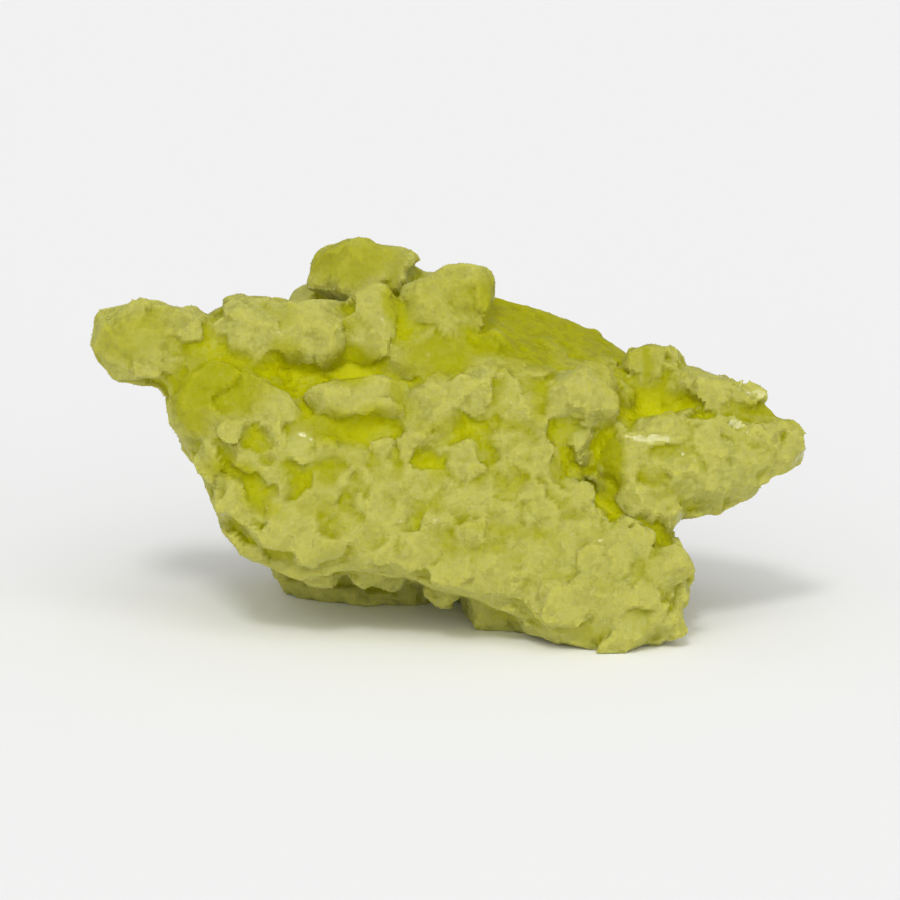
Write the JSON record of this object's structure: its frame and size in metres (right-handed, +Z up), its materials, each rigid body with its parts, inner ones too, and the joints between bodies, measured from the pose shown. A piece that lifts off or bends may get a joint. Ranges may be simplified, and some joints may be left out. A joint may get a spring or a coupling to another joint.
{
  "type": "native sulfur crystal",
  "caption": "Lump of native sulfur: a thick, knobbly crust of small crystals grown together, with a smooth bench on top, resting on a flat broken base.",
  "frame": {"origin": "centre of the bounding box, at the flat broken base that the lump stands on", "axes": "+X to the right along the broad front face, from the left knob to the tip of the right lobe; +Y from the front face to the back; +Z up"},
  "size_m": [0.0324, 0.017, 0.0174],
  "materials": {
    "sulfur": "pale frosted bloom on the high points, resinous olive yellow in the recesses"
  },
  "bodies": {
    "root": {"sulfur_crystal": "sulfur"}
  },
  "joints": []
}
